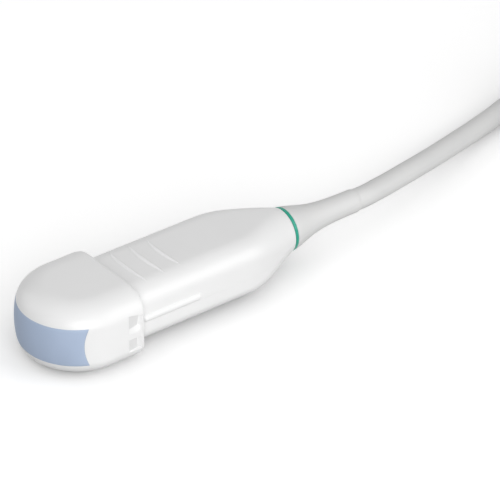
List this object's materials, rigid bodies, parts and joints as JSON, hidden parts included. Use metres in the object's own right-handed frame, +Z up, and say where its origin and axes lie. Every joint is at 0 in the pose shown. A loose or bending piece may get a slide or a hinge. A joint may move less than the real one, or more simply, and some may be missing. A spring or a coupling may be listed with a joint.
{
  "type": "ultrasound transducer probe",
  "caption": "Curved-array ultrasound transducer: rounded head with lens, ribbed handle, flared boot and a coiled cable to a turn-lock connector.",
  "frame": {"origin": "on the floor under the middle of the probe's own bounding box, cable and connector left out", "axes": "+Z up, -Y out of the lens, +Y along the handle to the cable"},
  "size_m": [0.0706, 0.5039, 0.038],
  "materials": {
    "white_plastic": "satin moulded, near white",
    "lens_silicone": "matte cast silicone, pale blue",
    "matching_epoxy": "filled epoxy, ground smooth",
    "matching_graphite": "graphite-filled, ground smooth",
    "piezo_ceramic": "sintered and diced",
    "backing_epoxy": "cast, dull black",
    "dark_plastic": "moulded, fine grain",
    "flex_polyimide": "amber film",
    "seal_rubber": "dull moulded",
    "board_green": "solder mask over glass fibre",
    "steel": "plated, fine brushed",
    "brass": "turned",
    "copper_braid": "tinned copper strands and tape",
    "teal_plastic": "satin moulded, teal",
    "cable_grey": "satin extruded, pale grey",
    "tie_fabric": "woven hook-and-loop tape",
    "grey_plastic": "fine textured, mid grey"
  },
  "bodies": {
    "probe": {"acoustic_lens": "lens_silicone", "array_frame": "dark_plastic", "backing_block": "backing_epoxy", "board_carrier": "dark_plastic", "board_lower": "board_green", "board_upper": "board_green", "cable_coil": "cable_grey", "cable_ferrule": "brass", "cable_lead": "cable_grey", "cable_tail": "cable_grey", "coax_bundle": "copper_braid", "coax_comb_lower": "steel", "coax_comb_upper": "steel", "coil_tie_1": "tie_fabric", "coil_tie_2": "tie_fabric", "colour_ring": "teal_plastic", "contact_block": "dark_plastic", "cover_screw_1": "steel", "cover_screw_2": "steel", "cover_screw_3": "steel", "cover_screw_4": "steel", "flex_circuit_lower": "flex_polyimide", "flex_circuit_upper": "flex_polyimide", "flex_connector_lower": "dark_plastic", "flex_connector_upper": "dark_plastic", "handle_lower_shell": "white_plastic", "handle_upper_shell": "white_plastic", "head_shell": "white_plastic", "lock_bushing": "brass", "matching_layer_inner": "matching_graphite", "matching_layer_outer": "matching_epoxy", "mating_frame": "steel", "neck_seal": "seal_rubber", "nose_seal": "seal_rubber", "piezo_array": "piezo_ceramic", "plug_base": "grey_plastic", "plug_board": "board_green", "plug_clamp": "dark_plastic", "plug_cover": "grey_plastic", "plug_strain_relief": "cable_grey", "plug_wires": "copper_braid", "shield_lower": "steel", "shield_upper": "steel", "strain_relief": "cable_grey"},
    "lock": {"lock_knob": "grey_plastic", "lock_shaft": "steel", "lock_clip": "steel"}
  },
  "joints": [
    {"name": "lock_turn", "type": "hinge", "parent": "probe", "child": "lock", "pos_m": [-0.01459, 0.39888, 0.0273], "axis": [0, 0, 1], "range_deg": [0, 90]}
  ]
}
